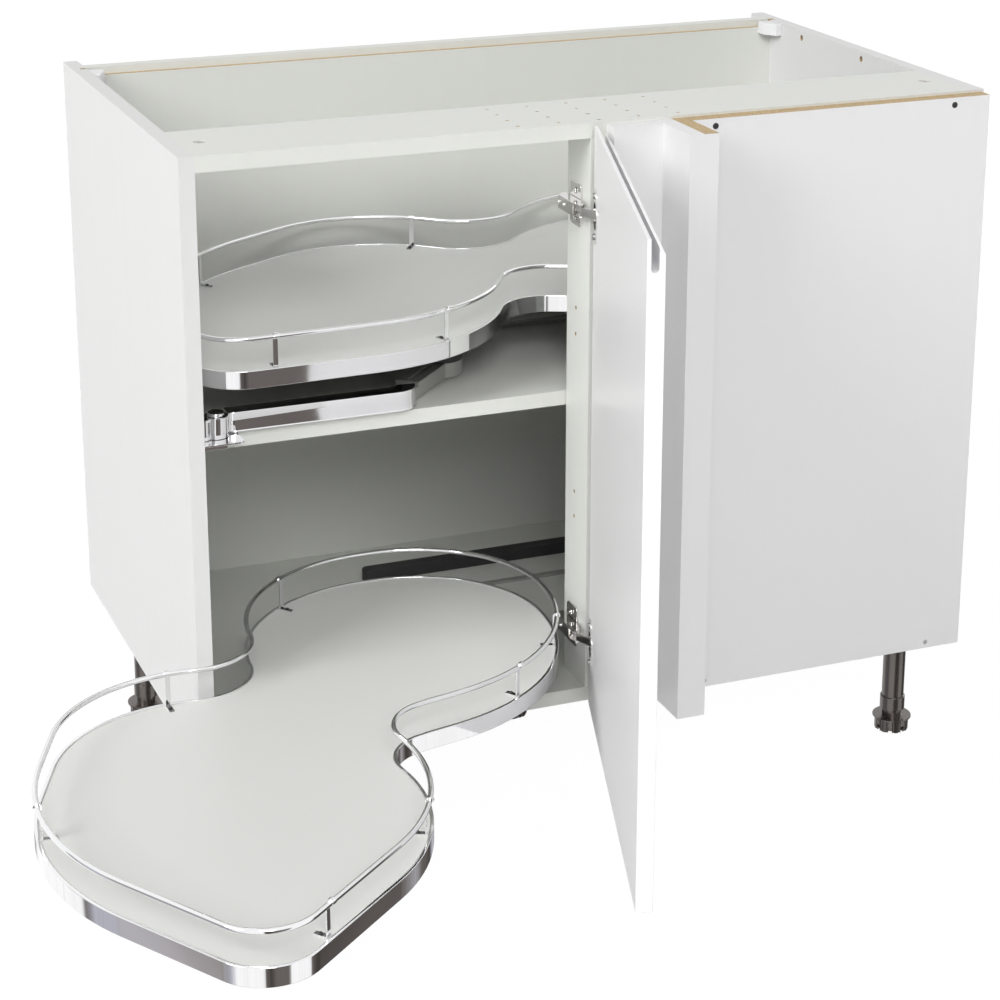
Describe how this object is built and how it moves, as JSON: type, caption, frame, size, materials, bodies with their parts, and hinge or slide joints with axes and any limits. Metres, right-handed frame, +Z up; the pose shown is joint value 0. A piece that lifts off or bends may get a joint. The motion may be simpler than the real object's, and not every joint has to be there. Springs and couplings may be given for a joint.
{
  "type": "blind corner base cabinet",
  "caption": "Blind corner base cabinet on screw feet, with a hinged door, a fixed shelf and kidney-shaped wire-railed trays that swing out on arms.",
  "frame": {"origin": "on the floor, at the middle of the sole of the centre foot, which stands under the middle of the carcass", "axes": "+X to the viewer's right along the cabinet's front, +Y to its back, +Z up"},
  "size_m": [1.2442, 1.1743, 0.87],
  "materials": {
    "white_melamine": "melamine-faced chipboard, fine satin grain, raw brown core at cut edges",
    "white_lacquer": "smooth satin lacquer on board",
    "tray_white": "melamine-faced board, matt",
    "white_plastic": "moulded, matt",
    "black_plastic": "moulded, matt",
    "leg_plastic": "dark moulded plastic, half gloss",
    "chrome": "bright chrome plate",
    "hinge_nickel": "nickel plate, bright",
    "grey_steel": "grey powder coat, half gloss",
    "dark_steel": "black powder coat, matt",
    "zinc_screws": "zinc plate"
  },
  "bodies": {
    "carcass": {"side_panel_left": "white_melamine", "side_panel_right": "white_melamine", "bottom_panel": "white_melamine", "back_panel": "white_melamine", "back_rail": "white_melamine", "mid_shelf": "white_melamine", "top_front_rail": "white_melamine", "rail_cam_fittings": "zinc_screws", "stile_screws": "zinc_screws", "hinge_stile": "white_melamine", "back_panel_blocks": "white_plastic", "corner_filler_face": "white_lacquer", "corner_filler_return": "white_lacquer", "blind_return_board": "white_lacquer", "blind_panel": "white_lacquer", "blind_panel_caps": "black_plastic", "blind_panel_screws": "zinc_screws", "leg_sockets": "leg_plastic", "leg_tubes": "leg_plastic", "hinge_plate_top": "hinge_nickel", "hinge_plate_bottom": "hinge_nickel", "hinge_arm_top": "hinge_nickel", "hinge_arm_bottom": "hinge_nickel", "hinge_plate_screws": "hinge_nickel", "upper_mounting_bracket": "chrome", "lower_mounting_bracket": "chrome", "rear_rails": "dark_steel", "floor_bars": "grey_steel", "base_screws": "zinc_screws"},
    "door": {"door_panel": "white_lacquer", "hinge_cup_top": "hinge_nickel", "hinge_cup_bottom": "hinge_nickel", "hinge_link_top": "hinge_nickel", "hinge_link_bottom": "hinge_nickel", "hinge_cup_screws": "hinge_nickel"},
    "upper_arm": {"upper_swing_arm": "grey_steel", "upper_arm_cover": "chrome"},
    "upper_tray": {"upper_tray_hub": "dark_steel", "upper_latch_plate": "grey_steel", "upper_tray_board": "tray_white", "upper_tray_band": "chrome", "upper_tray_railing": "chrome", "upper_railing_brackets": "chrome", "upper_railing_screws": "dark_steel"},
    "lower_arm": {"lower_swing_arm": "grey_steel", "lower_arm_cover": "chrome"},
    "lower_tray": {"lower_tray_hub": "dark_steel", "lower_latch_plate": "grey_steel", "lower_tray_board": "tray_white", "lower_tray_band": "chrome", "lower_tray_railing": "chrome", "lower_railing_brackets": "chrome", "lower_railing_screws": "dark_steel"},
    "foot_front_left": {"foot_front_left": "leg_plastic"},
    "foot_front_right": {"foot_front_right": "leg_plastic"},
    "foot_back_left": {"foot_back_left": "leg_plastic"},
    "foot_back_right": {"foot_back_right": "leg_plastic"},
    "foot_centre": {"foot_centre": "leg_plastic"}
  },
  "joints": [
    {"name": "door_hinge", "type": "hinge", "parent": "carcass", "child": "door", "pos_m": [-0.006, -0.304, 0.5], "axis": [0, 0, 1], "range_deg": [-22, 34.9]},
    {"name": "upper_arm_swing", "type": "hinge", "parent": "carcass", "child": "upper_arm", "pos_m": [-0.454, -0.235, 0.54], "axis": [0, 0, -1], "range_deg": [0, 18]},
    {"name": "upper_tray_turn", "type": "hinge", "parent": "upper_arm", "child": "upper_tray", "pos_m": [-0.136, -0.1093, 0.55], "axis": [0, 0, 1], "range_deg": [0, 30.6]},
    {"name": "lower_arm_swing", "type": "hinge", "parent": "carcass", "child": "lower_arm", "pos_m": [-0.454, -0.235, 0.18], "axis": [0, 0, 1], "range_deg": [0, 30]},
    {"name": "lower_tray_turn", "type": "hinge", "parent": "lower_arm", "child": "lower_tray", "pos_m": [-0.41726, -0.57496, 0.19], "axis": [0, 0, -1], "range_deg": [0, 7.5]},
    {"name": "foot_front_left_turn", "type": "hinge", "parent": "carcass", "child": "foot_front_left", "pos_m": [-0.455, -0.225, 0.02], "axis": [0, 0, 1], "continuous": true},
    {"name": "foot_front_right_turn", "type": "hinge", "parent": "carcass", "child": "foot_front_right", "pos_m": [0.455, -0.225, 0.02], "axis": [0, 0, 1], "continuous": true},
    {"name": "foot_back_left_turn", "type": "hinge", "parent": "carcass", "child": "foot_back_left", "pos_m": [-0.455, 0.178, 0.02], "axis": [0, 0, 1], "continuous": true},
    {"name": "foot_back_right_turn", "type": "hinge", "parent": "carcass", "child": "foot_back_right", "pos_m": [0.455, 0.178, 0.02], "axis": [0, 0, 1], "continuous": true},
    {"name": "foot_centre_turn", "type": "hinge", "parent": "carcass", "child": "foot_centre", "pos_m": [0, 0, 0.02], "axis": [0, 0, 1], "continuous": true}
  ],
  "couplings": [
    {"joint": "upper_tray_turn", "follows": "upper_arm_swing", "ratio": 1.7},
    {"joint": "lower_tray_turn", "follows": "lower_arm_swing", "ratio": 0.25}
  ]
}
